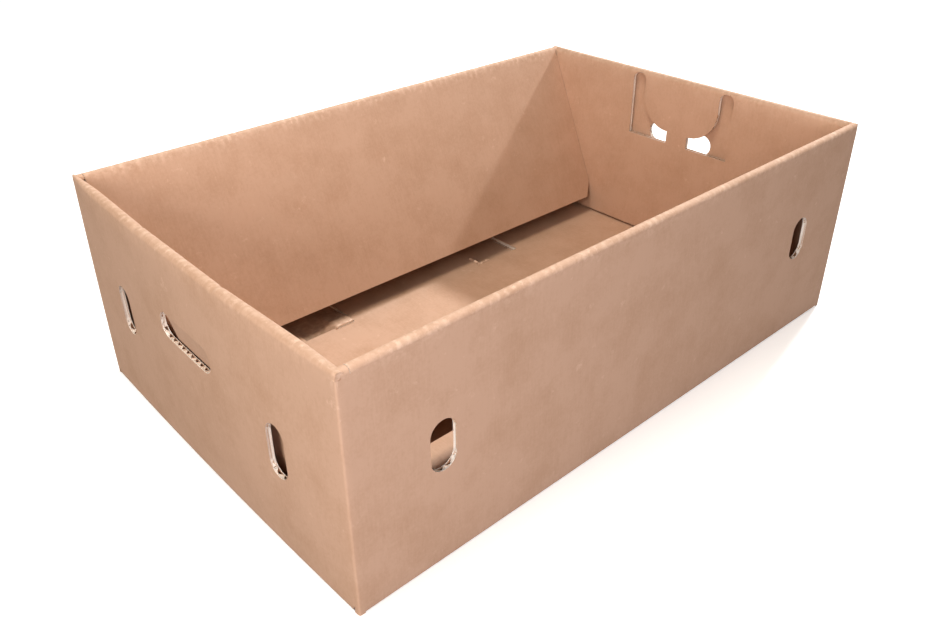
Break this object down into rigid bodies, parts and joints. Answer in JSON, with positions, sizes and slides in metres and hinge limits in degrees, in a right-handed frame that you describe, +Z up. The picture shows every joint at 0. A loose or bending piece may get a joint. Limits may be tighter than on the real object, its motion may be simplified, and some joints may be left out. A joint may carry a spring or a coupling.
{
  "type": "cardboard tray box",
  "caption": "Open-topped corrugated cardboard tray with rolled rims, hand holes in both end walls, leaning inner flaps on the long walls and an interlocked base.",
  "frame": {"origin": "middle of the underside, on the surface that the tray stands on", "axes": "+X along the length, +Y from the front wall to the back wall, +Z up"},
  "size_m": [0.6, 0.39, 0.2],
  "materials": {
    "kraft": "matte"
  },
  "bodies": {
    "tray": {"tray": "kraft"},
    "back_flap": {"back_flap": "kraft"},
    "front_flap": {"front_flap": "kraft"}
  },
  "joints": [
    {"name": "back_flap_fold", "type": "hinge", "parent": "tray", "child": "back_flap", "pos_m": [0, 0.191, 0.196], "axis": [-1, 0, 0], "range_deg": [-23, 155]},
    {"name": "front_flap_fold", "type": "hinge", "parent": "tray", "child": "front_flap", "pos_m": [0, -0.191, 0.196], "axis": [1, 0, 0], "range_deg": [-23, 155]}
  ]
}
